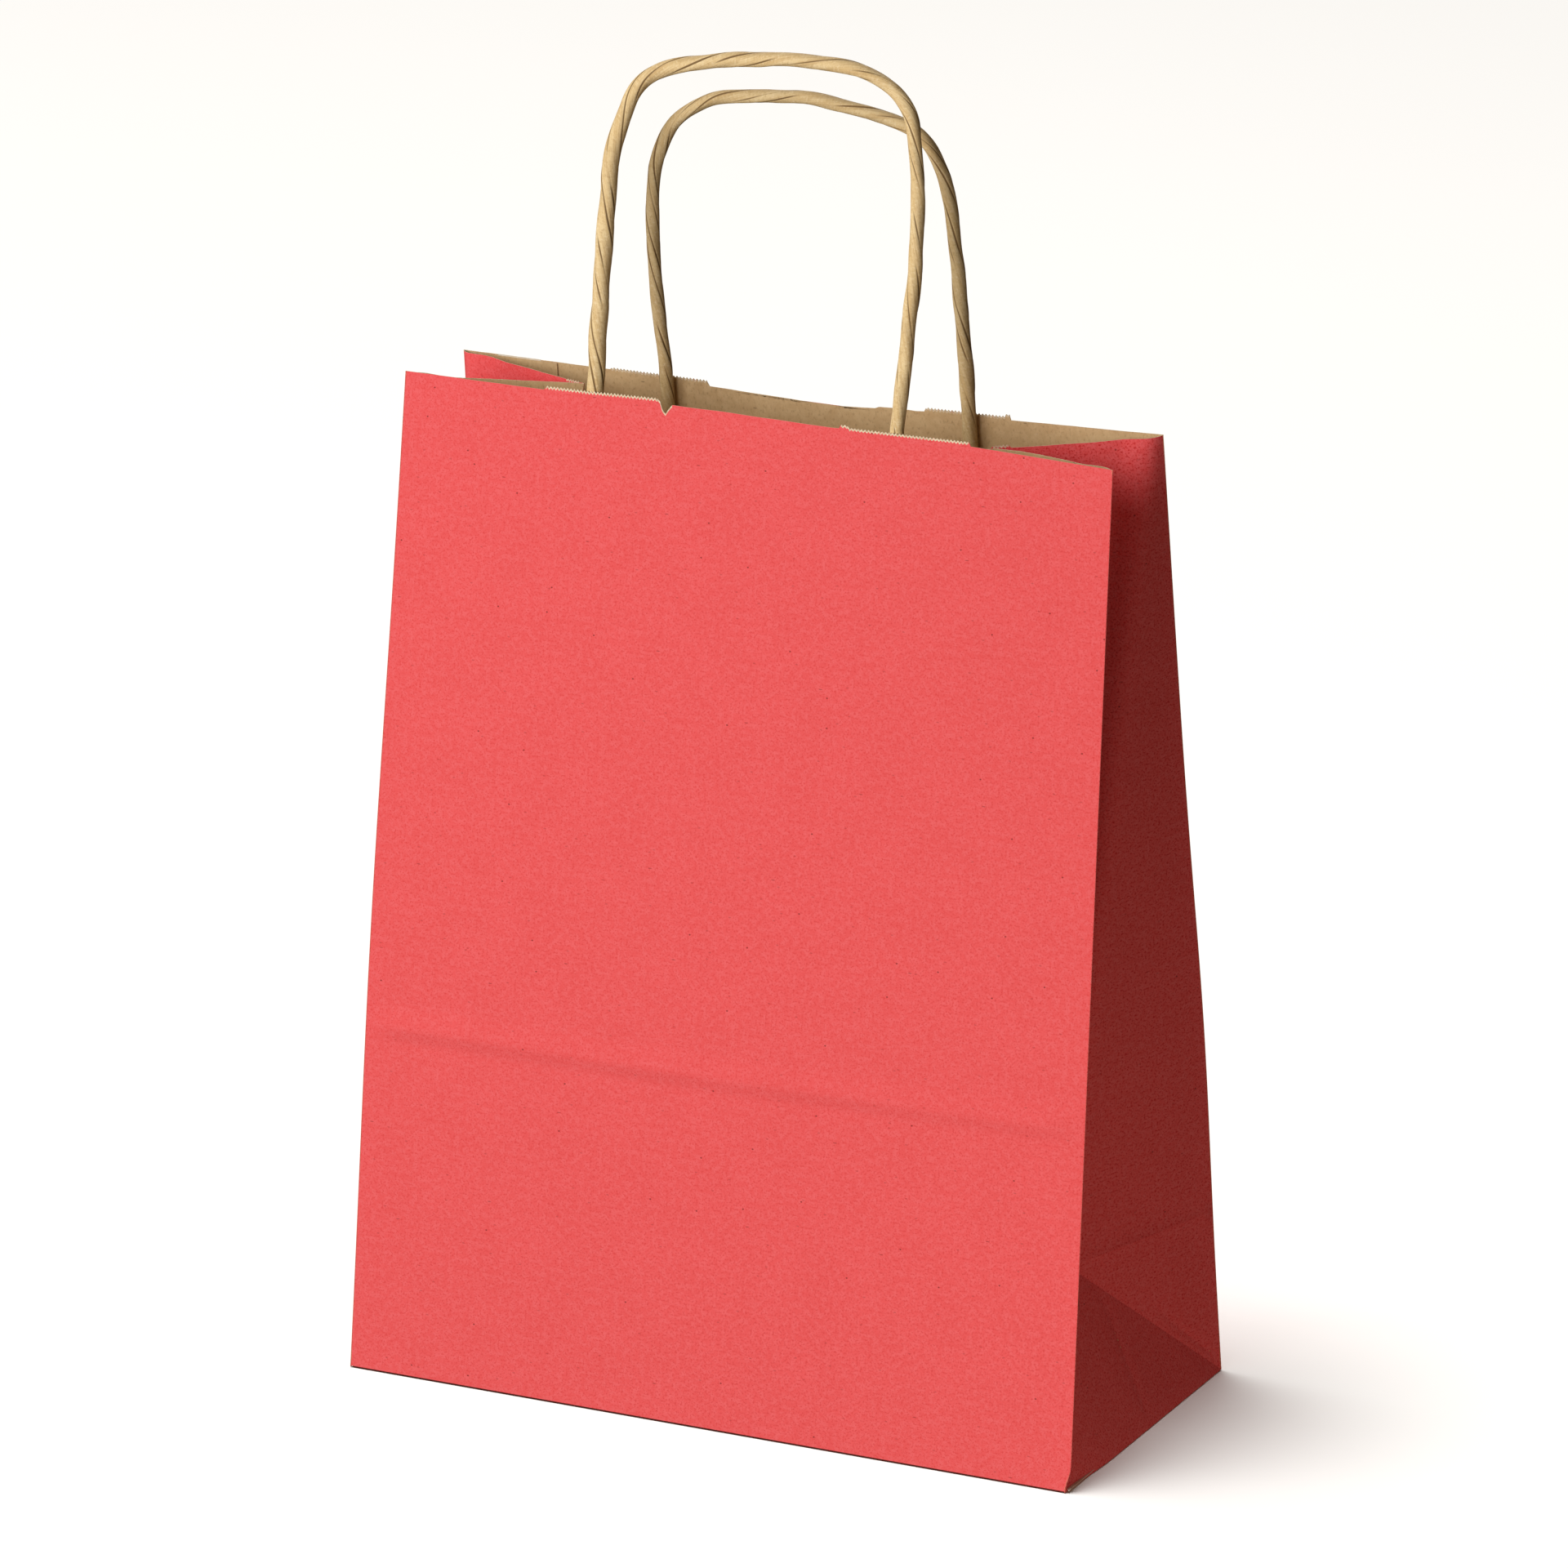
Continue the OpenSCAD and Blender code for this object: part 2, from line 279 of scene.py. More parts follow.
def flat_zone(x, v):
    """0 where something is pasted on the wall, so the paper is flat there, and 1 elsewhere."""
    patch = smooth((np.abs(x) - PATCH_HALF_W - 2) / 14) + smooth((PATCH_LOW - 3 - v) / 16)
    return np.clip(patch + smooth((v - PATCH_HIGH - 2) / 5) * 0.3, 0, 1)


def wall_relief(x, v, wall):
    """How far the wall's paper stands out: a storage crease, faint waves, nothing at the folds."""
    edge = smooth((HALF_W - np.abs(x)) / 14) * smooth(v / 10)
    out = 0.32 * noise_at(x, v, 3 + wall, 75) + 0.12 * noise_at(x * 0.7, v, 8 + wall, 28)
    height = 109.4 + 0.012 * x + 1.2 * noise_at(x, 0 * v, 5 + wall, 60)
    over = v - height
    strength = 1.0 + 0.4 * noise_at(x, 0 * v, 15 + wall, 40)
    crease = np.clip(1 - np.maximum(over / 6.5, -over / 4.5), 0, 1) * strength
    second = 0.10 * bump(v, 46 + 0.03 * x, 7) * smooth((x + 60) / 60)
    second = second + 0.10 * bump(v, 228 - 0.05 * x, 9)
    if wall > 0:
        crease, second = crease * 0.6, second * 0.5
        edge = edge * smooth((x + 80) / 12)
    return (out + crease + second) * edge * flat_zone(x, v)


FRONT_EDGE = [  # (x, rise above the panel's nominal height) along the cut top edge
    (-120, 0.9), (-71.9, 0.9), (-71.3, 1.9), (-53, 2.2), (-33, 2.8), (-32.2, 2.1), (-31.2, -0.4),
    (-30.1, -1.5), (-29.2, 0.0), (-28, 1.4), (-12, 1.5), (26.8, 1.2), (28.6, 1.3), (29.2, 2.2),
    (31, 2.3), (32.2, 1.7), (52, 1.9), (72, 2.3), (72.8, 1.2), (100, 0.5), (120, -0.1),
]
BACK_EDGE = [
    (-120, -2.2), (-83, -2.2), (-68.8, -2.2), (-68.2, -1.8), (-50, -1.7), (-35.2, -1.7),
    (-34.2, -3.3), (-10, -3.9), (10, -4.1), (22.5, -3.2), (24, -2.6), (31, -2.3), (36.6, -2.3),
    (39.4, -2.1), (40, -1.0), (66.6, -0.4), (67.6, 0.5), (68.4, 0.3), (68.9, -1.2), (90, -0.3),
    (120, 0.7),
]
FRONT_TEETH = [(-71.3, -33.0), (29.2, 72.0)]
BACK_TEETH = [(-68.2, -35.2), (40.0, 68.4)]
TORN_SPANS = [(-33.0, -28.0)]  # the nick of the front panel, where the pulp shows
TOOTH_PITCH, TOOTH_HEIGHT = 1.15, 0.34
CUT_HEIGHT = 0.6


def in_spans(x, spans):
    return np.any([(x >= a) & (x <= b) for a, b in spans], axis=0)


def edge_rise(x, outline, spans):
    """Rise of a cut edge at x, with the small teeth of the cutting knife."""
    px, pz = zip(*outline)
    teeth = TOOTH_HEIGHT * (1 - 2 * np.abs(2 * ((x / TOOTH_PITCH) % 1) - 1))
    rag = 0.06 * noise_at(x, 0 * x, 21, 1.3) + 0.08 * noise_at(x, 0 * x, 22, 9)
    return np.interp(x, px, pz) + np.where(in_spans(x, spans), teeth, 0.0) + rag


def edge_columns(outline, spans):
    """Columns close enough to draw the teeth and steps of an edge, and wide elsewhere."""
    fine = TOOTH_PITCH / 4
    cols = set(np.round(np.linspace(-HALF_W, HALF_W, 81), 3))
    cols |= {float(x) for x, _ in outline}
    for a, b in spans:
        cols |= set(np.round(np.arange(a, b, fine), 3))
    cols = sorted(cols)
    keep = [cols[0]]
    for x in cols[1:]:
        if x - keep[-1] > 0.12:
            keep.append(x)
    keep[-1] = HALF_W
    return np.array(keep)


LIP = np.array([0.7, 1.8, 3.4])  # paper that turns the corner behind the gusset's side edge


def lip_points(v, right, wall):
    """Three points on the turned edge of a wall at each height, lying just inside the gusset."""
    along = gusset_lower_direction(right, wall)
    inside = -gusset_lower_normal(right, wall)
    corner = wall_point(right * HALF_W, v, 0.0, wall)
    least = 0.05 * (1 + np.arange(3))
    room = np.minimum(0.75 * (v[:, None] - 1.0), 0.17 * (PANEL_H - v[:, None]))
    reach = np.minimum(LIP[None, :], np.maximum(room, least))
    depth = np.minimum(0.30, 0.43 * reach)
    return corner[:, None, :] + reach[..., None] * along + depth[..., None] * inside


def build_wall(wall, outline, spans, torn, materials):
    x = edge_columns(outline, spans)
    low = 0.25 if wall > 0 else 0.35
    heights = np.concatenate([
        [low, 1.2, 3], np.linspace(6, 90, 22), np.linspace(92, 128, 31),
        np.linspace(132, 300, 43), [303, 306],
    ])
    top = PANEL_H + edge_rise(x, outline, spans)
    rows = np.repeat(heights[:, None], len(x), 1)
    v = np.concatenate([rows, (top - CUT_HEIGHT)[None], top[None]])
    xx = np.repeat(x[None], len(v), 0)
    relief = wall_relief(xx, v, wall)
    grid = wall_point(xx, v, -relief, wall)
    left = lip_points(v[:, 0], -1, wall)[:, ::-1]
    right = lip_points(v[:, -1], 1, wall)
    grid = np.concatenate([left, grid, right], 1)
    flat_x = np.concatenate([x[:1] - LIP[::-1], x, x[-1:] + LIP])
    flat_v = np.concatenate([v[:, :1].repeat(3, 1), v, v[:, -1:].repeat(3, 1)], 1)
    flat = np.stack([np.repeat(flat_x[None], len(v), 0), flat_v + 400 * (wall + 1)], -1)
    teeth = in_spans((flat_x[1:] + flat_x[:-1]) / 2, spans + torn)
    name = FACE[wall] + "_panel_sheet"
    return sheet(name, skew(grid), flat, -wall, materials, tooth_top=teeth)


# ---------------------------------------------------------------- gussets

def gusset_frame(points, right, wall):
    """From the flat gusset half (0, s, v) to the bag: turned on its side crease and leaned."""
    c, s = math.cos(VERTEX_LEAN), math.sin(VERTEX_LEAN)
    x, y, z = points[..., 0], points[..., 1], points[..., 2]
    x, y = c * x - s * y, s * x + c * y
    cl, sl = math.cos(LEAN), math.sin(LEAN)
    y, z = cl * y + sl * z, -sl * y + cl * z
    return np.stack([right * (x + HALF_W), -wall * (y - HALF_D), z], -1)


def gusset_lower_direction(right, wall):
    ends = gusset_frame(np.array([[0.0, 0, 0], [0, 1, 0]]), right, wall)
    return ends[1] - ends[0]


def gusset_lower_normal(right, wall):
    ends = gusset_frame(np.array([[0.0, 0, 0], [1, 0, 0]]), right, wall)
    return ends[1] - ends[0]


FOLD_TOP = np.array([0.0, 0.0, PANEL_H])
FOLD_AXIS = unit(np.array([0.0, HALF_D, HALF_D - PANEL_H]))


def upper_fold():
    """Angle about the diagonal that brings the upper sheet's far top corner to the middle plane."""
    angles = np.linspace(-1.2, -0.2, 2001)
    corner = np.repeat(np.array([0.0, HALF_D, PANEL_H])[None], len(angles), 0)
    y = gusset_frame(turn(corner, FOLD_TOP, FOLD_AXIS, angles), 1, -1)[:, 1]
    if y[-1] < y[0]:
        y, angles = y[::-1], angles[::-1]
    return float(np.interp(0.0, y, angles))


UPPER_FOLD = upper_fold()
BAND_LOW, BAND_HIGH = 2.0, 12.0  # the diagonal's soft bend: this far below it and above it


def bend_ends(right, wall):
    """The two points between which a gusset half turns from its lower to its upper sheet."""
    middle = FOLD_TOP + FOLD_AXIS * 150
    across = unit(np.cross(FOLD_AXIS, np.array([1.0, 0, 0])))
    if across[1] < 0:
        across = -across
    trio = np.stack([middle, middle - across, middle + across])
    upper = turn(trio[2:], FOLD_TOP, FOLD_AXIS, np.array([UPPER_FOLD]))
    m, low, high = gusset_frame(np.concatenate([trio[:2], upper]), right, wall)
    d = unit(high - low)
    return m - d * BAND_LOW, m + d * BAND_HIGH


def blend_share(points, start, end):
    d = end - start
    return smooth(((points - start) @ d) / (d @ d))


GUSSET_EDGE = {  # (s, rise) along the mouth edge of each half, by (right, back)
    (1, -1): [(0, -0.6), (8, 0.1), (20, 0.9), (38, 1.4), (50, 0.9), (55, 0.0)],
    (1, 1): [(0, 0.6), (22, -0.1), (46.5, 0.0), (47.3, 0.8), (52, 0.8), (53, 0.1), (55, 0.0)],
    (-1, -1): [(0, 0.3), (14, 0.6), (55, 3.8)],
    (-1, 1): [(0, -2.2), (9, -0.9), (20, -0.3), (33, 1.2), (46, 2.6), (55, 3.8)],
}
GUSSET_TEETH = {(1, -1): [], (1, 1): [(47.3, 52)], (-1, -1): [], (-1, 1): [(47, 53)]}


def gusset_relief(s, v, right, wall):
    """Creases and waves of a gusset half, standing out from its smooth fold."""
    seed = 30 + 3 * right + wall
    inside = smooth(s / 9) * smooth((HALF_D - s) / 9) * smooth((v - s) / 8)
    waves = 0.5 * noise_at(s, v * 0.7, seed, 42) + 0.14 * noise_at(s, v, seed + 1, 15)
    fold = 1.1 * np.exp(-np.abs(v - HALF_D - 0.9 * noise_at(s, 0 * v, seed, 20)) / 2.0)
    old_fold = -0.25 * np.exp(-np.abs(v - 106 + 0.05 * s) / 4)
    ray = -0.40 * np.exp(-np.abs(v - 72 - 0.55 * (HALF_D - s)) / 1.5)
    pinch = -0.9 * np.exp(-np.abs(v - s - 3 - 0.12 * s) / 1.3)
    pinch = pinch * smooth(s / 2) * smooth((26 - s) / 14)
    fold = fold * smooth(s / 3) * smooth((HALF_D - s) / 16)
    return (waves + old_fold + ray) * inside + fold + pinch


# First guess of where a gusset half turns into its upper sheet, replaced in the first round.
GUESS_SLOPE, GUESS_ACROSS, FOLD_ROUNDS = 0.2108, 4.6, 10


def build_gusset(right, wall, materials):
    name = f"{SIDE[right]}_{FACE[wall]}"
    teeth = GUSSET_TEETH[right, wall]
    s = set(np.round(np.concatenate([[0, 0.6, 1.6], np.linspace(3, HALF_D, 40)]), 3))
    for a, b in teeth:
        s |= set(np.round(np.arange(a, b, TOOTH_PITCH / 4), 3))
    s |= {float(x) for x, _ in GUSSET_EDGE[right, wall]}
    s = np.array(sorted(s))
    s = s[np.concatenate([[True], np.diff(s) > 0.1])]
    s[-1] = HALF_D
    below = np.linspace(0, 1, 41)[:-1]
    above = np.concatenate([[0, 0.7, 1.4, 2.2, 3.2], np.linspace(5, 243, 84)])
    v_low = s[None] + below[:, None] * (HALF_D - s)[None]
    v_mid = np.repeat((HALF_D + above)[:, None], len(s), 1)
    top = PANEL_H + edge_rise(s, GUSSET_EDGE[right, wall], teeth)
    v = np.concatenate([v_low, v_mid, np.stack([top - 4, top - 2, top - CUT_HEIGHT, top])])
    ss = np.repeat(s[None], len(v), 0)
    flat = np.stack([0 * ss, ss, v], -1)
    start, end = bend_ends(right, wall)
    relief = gusset_relief(ss, v, right, wall)
    outward = gusset_lower_normal(right, wall)
    vertex = gusset_frame(np.array([0.0, HALF_D, HALF_D]), right, wall)

    facing = np.broadcast_to(np.array([1.0, 0, 0]), flat.shape)
    past = ss * GUESS_SLOPE * GUESS_ACROSS - (PANEL_H - v) * GUESS_SLOPE
    share = smooth((past + BAND_LOW) / (BAND_LOW + BAND_HIGH))
    for _ in range(FOLD_ROUNDS):
        turned = turn(flat, FOLD_TOP, FOLD_AXIS, share * UPPER_FOLD)
        normal_flat = turn(facing, np.zeros(3), FOLD_AXIS, share * UPPER_FOLD)
        rest = gusset_frame(turned, right, wall)
        normal = gusset_frame(turned + normal_flat, right, wall) - rest
        # The middle crease lies in the middle plane, the side edge on the wall and the foot on
        # the base triangle.
        to_middle = np.where(v[:, -1] > HALF_D + 0.01, -rest[:, -1, 1] / normal[:, -1, 1], 0.0)
        rest = rest + (to_middle[:, None] * smooth((ss - 8) / (HALF_D - 8)))[..., None] * normal
        side = wall_point(right * HALF_W, v[:, 0], 0.0, wall) - rest[:, 0]
        rest = rest + side[:, None, :] * (1 - smooth(ss / 18))[..., None]
        corner = wall_point(right * HALF_W, 0.0, 0.0, wall)
        foot = corner + (s / HALF_D)[:, None] * (vertex - corner) - rest[0]
        rest = rest + foot[None] * (1 - smooth((v - ss) / 14))[..., None]
        share = blend_share(rest, start, end)
    rest = rest + relief[..., None] * normal
    uv = np.stack([ss + 150 + 60 * right, v + 400 * (wall + 1)], -1)
    tooth_cols = in_spans((s[1:] + s[:-1]) / 2, teeth) if teeth else None
    check = grid_normals(rest)[len(v) // 2, len(s) // 2] @ outward
    sense = 1 if check > 0 else -1
    obj = sheet(name + "_gusset_sheet", skew(rest), uv, sense, materials, tooth_top=tooth_cols)
    return obj, name, start * MM, end * MM


STRIP_ON_WALL = np.array([3.2, 1.5])
STRIP_ON_GUSSET = np.array([1.7, 3.8])
STRIP_INSIDE = 0.62


def build_corner_strip(right, wall, materials):
    """The inside of a side fold: a strip that stretches from wall to gusset."""
    name = f"{SIDE[right]}_{FACE[wall]}"
    edge = (FRONT_EDGE if wall < 0 else BACK_EDGE)[-1 if right > 0 else 0]
    rise = min(edge[1], GUSSET_EDGE[right, wall][0][1]) - 0.7
    v = np.concatenate([
        [5.0, 8.0], np.linspace(12, 290, 72), [294, 298, 301, 303.5, 305.5],
        PANEL_H + np.array([-3.4, rise]),
    ])
    along, inside = gusset_lower_direction(right, wall), -gusset_lower_normal(right, wall)
    room = np.minimum(0.75 * (v - 1.0), 0.19 * (PANEL_H - v)) / STRIP_ON_GUSSET[-1]
    reach = STRIP_ON_GUSSET[None] * np.clip(room, 0.36, 1)[:, None]
    on_wall = wall_point(right * (HALF_W - STRIP_ON_WALL)[None], v[:, None], STRIP_INSIDE, wall)
    corner = wall_point(right * HALF_W, v, 0.0, wall)
    on_gusset = corner[:, None] + reach[..., None] * along + STRIP_INSIDE * inside
    grid = np.concatenate([on_wall, on_gusset], 1)
    across = np.concatenate([-STRIP_ON_WALL, STRIP_ON_GUSSET])[None]
    flat = np.stack([np.repeat(across, len(v), 0) + 900, np.repeat(v[:, None], 4, 1)], -1)
    out = wall_point(0.0, 0.0, -1.0, wall) - wall_point(0.0, 0.0, 0.0, wall)
    sense = 1 if grid_normals(grid)[len(v) // 2, 0] @ out > 0 else -1
    obj = sheet(name + "_corner_sheet", skew(grid), flat, sense, materials, thickness=STRIP_PAPER)
    ends = [wall_point(0.0, 150.0, depth, wall) * MM for depth in (0.75, 1.25)]
    return obj, name, ends


def build_base_triangle(right, materials):
    """The gusset's foot, from the bottom's side crease up to the vertex where the creases meet."""
    v = np.linspace(0, 1, 26)
    u = np.linspace(-1, 1, 57)
    y = u[None] * HALF_D * (1 - v[:, None])
    z = np.repeat((v * HALF_D)[:, None], len(u), 1)
    z = np.maximum(z, 0.05)
    inside = smooth((HALF_D - np.abs(y) - z) / 7) * smooth(z / 5)
    relief = (0.45 * noise_at(y, z, 50 + right, 30) + 0.12 * noise_at(y, z, 51 + right, 9)) * inside
    relief = relief - 0.65 * np.exp(-np.abs(y - 4 - 0.16 * z) / 1.3) * inside
    c, s = math.cos(VERTEX_LEAN), math.sin(VERTEX_LEAN)
    grid = np.stack([right * (HALF_W - s * z + c * relief), y, c * z + s * relief], -1)
    flat = np.stack([y + 260 * right, z], -1)
    sense = 1 if grid_normals(grid)[5, 28][0] * right > 0 else -1
    return sheet(SIDE[right] + "_base_sheet", skew(grid), flat, sense, materials, cut_top=False)


# ---------------------------------------------------------------- bottom and inside pieces

def lying_sheet(name, grid, flat, materials):
    """A sheet of the bottom, its outer face down and all its edges cut."""
    sense = 1 if grid_normals(grid)[3, 3][2] < 0 else -1
    return sheet(
        name, skew(grid), flat, sense, materials, cut_sides=True, thickness=INNER_PAPER
    )


def build_flap(name, wall, z, materials, seed):
    """A bottom flap from the wall's bottom crease inwards, with its two far corners cut off."""
    w, y0 = HALF_W - FLAP_INSET, HALF_D - FLAP_INSET
    t = np.concatenate([np.linspace(0, y0, 26), np.linspace(y0, FLAP_LENGTH, 8)[1:]])
    half = w - np.maximum(t - y0, 0)
    u = np.linspace(-1, 1, 97)
    x = u[None] * half[:, None]
    far = t[:, None]
    y = np.repeat(far, len(u), 1) + 0.25 * noise_at(x, 0 * x, seed, 25) * smooth((far - 50) / 10)
    lift = 0.05 * (1 + noise_at(x, y, seed, 30)) * smooth((far - 52) / 12) * (0 if wall > 0 else 1)
    grid = np.stack([x, wall * (y0 - y), z + lift], -1)
    flat = np.stack([x + 500, y + 70 * seed], -1)
    return lying_sheet(name, grid, flat, materials)


def build_tuck(right, z, materials):
    """A side tuck of the bottom, folded in first, so it lies on top inside the bag."""
    depth = HALF_D - 5 * FLAP_INSET
    t = np.linspace(FLAP_INSET, depth, 24)
    half = (HALF_D - FLAP_INSET) - np.maximum(t - 5 * FLAP_INSET, 0)
    half[0] = half[1]
    u = np.linspace(-1, 1, 61)
    y = u[None] * half[:, None]
    x = np.repeat((HALF_W - t)[:, None], len(u), 1)
    lift = 0.35 * smooth((t[:, None] - 26) / 26) * (1 + 0.4 * noise_at(x, y, 61 + right, 22))
    grid = np.stack([right * x, y, z + lift], -1)
    flat = np.stack([y + 500, x + 200 * right], -1)
    return lying_sheet(SIDE[right] + "_tuck_sheet", grid, flat, materials)


def build_seam_lap(materials):
    """The paper tube's lap, pasted inside the back panel, its cut edge a little proud."""
    last = [-HALF_W + 32, -HALF_W + 32.6, -HALF_W + 33]
    x = np.concatenate([np.linspace(-HALF_W + 2.6, -HALF_W + 31, 14), last])
    heights = np.concatenate([[3.5], np.linspace(8, 300, 60), [304]])
    top = PANEL_H - 0.25 + edge_rise(x, BACK_EDGE, [])
    v = np.concatenate([np.repeat(heights[:, None], len(x), 1), (top - 0.4)[None], top[None]])
    xx = np.repeat(x[None], len(v), 0)
    xx = xx + 0.18 * noise_at(0 * v, v, 71, 30) * smooth((xx + 95) / 8)
    proud = 0.22 * smooth((xx + HALF_W - 30) / 3) * (1 + 0.5 * noise_at(xx, v, 72, 18))
    grid = wall_point(xx, v, 0.30 - wall_relief(xx, v, 1) + proud, 1)
    flat = np.stack([xx + 300, v], -1)
    return sheet(
        "seam_lap_sheet", skew(grid), flat, -1, materials, cut_sides=True, thickness=INNER_PAPER
    )


COVER_DEPTH = 0.52  # of the cover's outer face where no cord is below it
COVER_ROUND, COVER_REACH = 2.42, 2.2  # radius over a cord, and where the skirt beside it starts


def build_patch_cover(wall, legs, materials):
    """The cover of a handle patch, drawn down over the two cord ends."""
    x = set(np.round(np.linspace(-PATCH_HALF_W, PATCH_HALF_W, 90), 3))
    for leg in legs:
        x |= set(np.round(leg + np.linspace(-7, 7, 57), 3))
    x = np.array(sorted(x))
    x = x[np.concatenate([[True], np.diff(x) > 0.08])]
    v = np.linspace(PATCH_LOW, PATCH_HIGH, 40)
    xx, vv = np.meshgrid(x, v)
    base = COVER_DEPTH + 0.05 * (1 + noise_at(xx, vv, 81 + wall, 20))
    height = base.copy()
    for leg in legs:
        off = np.abs(xx - leg)
        crown = CORD_INWARD + np.sqrt(np.maximum(COVER_ROUND**2 - off**2, 0))
        skirt = COVER_DEPTH + 2.4 * np.exp(-np.maximum(off - COVER_REACH, 0) / 0.8)
        over = np.where(off < 2.3, np.maximum(crown, skirt), skirt)
        closed = smooth((vv - (CORD_BOTTOM - 3.5)) / 4.0)
        height = np.maximum(height, base + (over - COVER_DEPTH) * closed)
    height = height + 0.10 * noise_at(xx, vv, 84 + wall, 6) * smooth((height - 0.6) / 1.5)
    ragged = 0.2 * noise_at(xx, 0 * xx, 85 + wall, 14)
    vv = vv + ragged * np.where((vv == v[0]) | (vv == v[-1]), 1.0, 0.0)
    grid = wall_point(xx, vv, height, wall)
    flat = np.stack([xx + 700, vv + 90 * wall], -1)
    sense = 1 if grid_normals(grid)[2, 2][1] * wall > 0 else -1
    name = FACE[wall] + "_patch_sheet"
    return sheet(name, grid, flat, sense, materials, cut_sides=True, thickness=COVER_PAPER)


# ---------------------------------------------------------------- twisted paper cords

def smooth_path(points, step):
    """Points about a step apart on a smooth curve through the outline."""
    p = np.array(points, float)
    p = np.vstack([2 * p[0] - p[1], p, 2 * p[-1] - p[-2]])
    fine = []
    for a, b, c, d in zip(p, p[1:], p[2:], p[3:]):
        square, cube = 2 * a - 5 * b + 4 * c - d, 3 * b - a - 3 * c + d
        for t in np.linspace(0, 1, 60, endpoint=False):
            fine.append(0.5 * (2 * b + (c - a) * t + square * t**2 + cube * t**3))
    fine.append(p[-2])
    fine = np.array(fine)
    length = np.concatenate([[0], np.cumsum(np.linalg.norm(np.diff(fine, axis=0), axis=1))])
    at = np.linspace(0, length[-1], int(length[-1] / step) + 1)
    return np.stack([np.interp(at, length, fine[:, k]) for k in range(fine.shape[1])], -1), at


TWIST_PITCH = 54.0
TWIST_STARTS = [0.0, 1.35, 3.3, 4.5]
CORD_SIDES, CORD_STEP = 66, 0.8
PASTED_LENGTH = 48  # at each end of the cord, held straight by its patch
WOBBLE = 0.42
CREASE_WIDTH, CREASE_DEPTH, STEP_HEIGHT = 0.11, 0.10, 0.045  # radians, then shares of the radius


def noise_along(at, size, u, v):
    """Smooth noise along a cord, with features about size mm long."""
    return np.array([noise.noise(Vector((a / size, u, v))) for a in at])


def handle_path(outline, wall):
    """The whole cord of a handle: up out of the patch, round the loop and down again."""
    pivot = wall_point(0.0, PANEL_H + PIVOT_RISE, CORD_INWARD, wall)
    up = np.array([0.0, -wall * math.sin(HANDLE_LEAN), math.cos(HANDLE_LEAN)])
    stubs = np.linspace(CORD_BOTTOM, PANEL_H - 2, 6)
    first, last = outline[0][0], outline[-1][0]
    points = [wall_point(first, v, CORD_INWARD, wall) for v in stubs]
    points += [pivot + np.array([x, 0, 0]) + up * (h - PIVOT_RISE) for x, h in outline]
    points += [wall_point(last, v, CORD_INWARD, wall) for v in stubs[::-1]]
    return smooth_path(points, CORD_STEP)


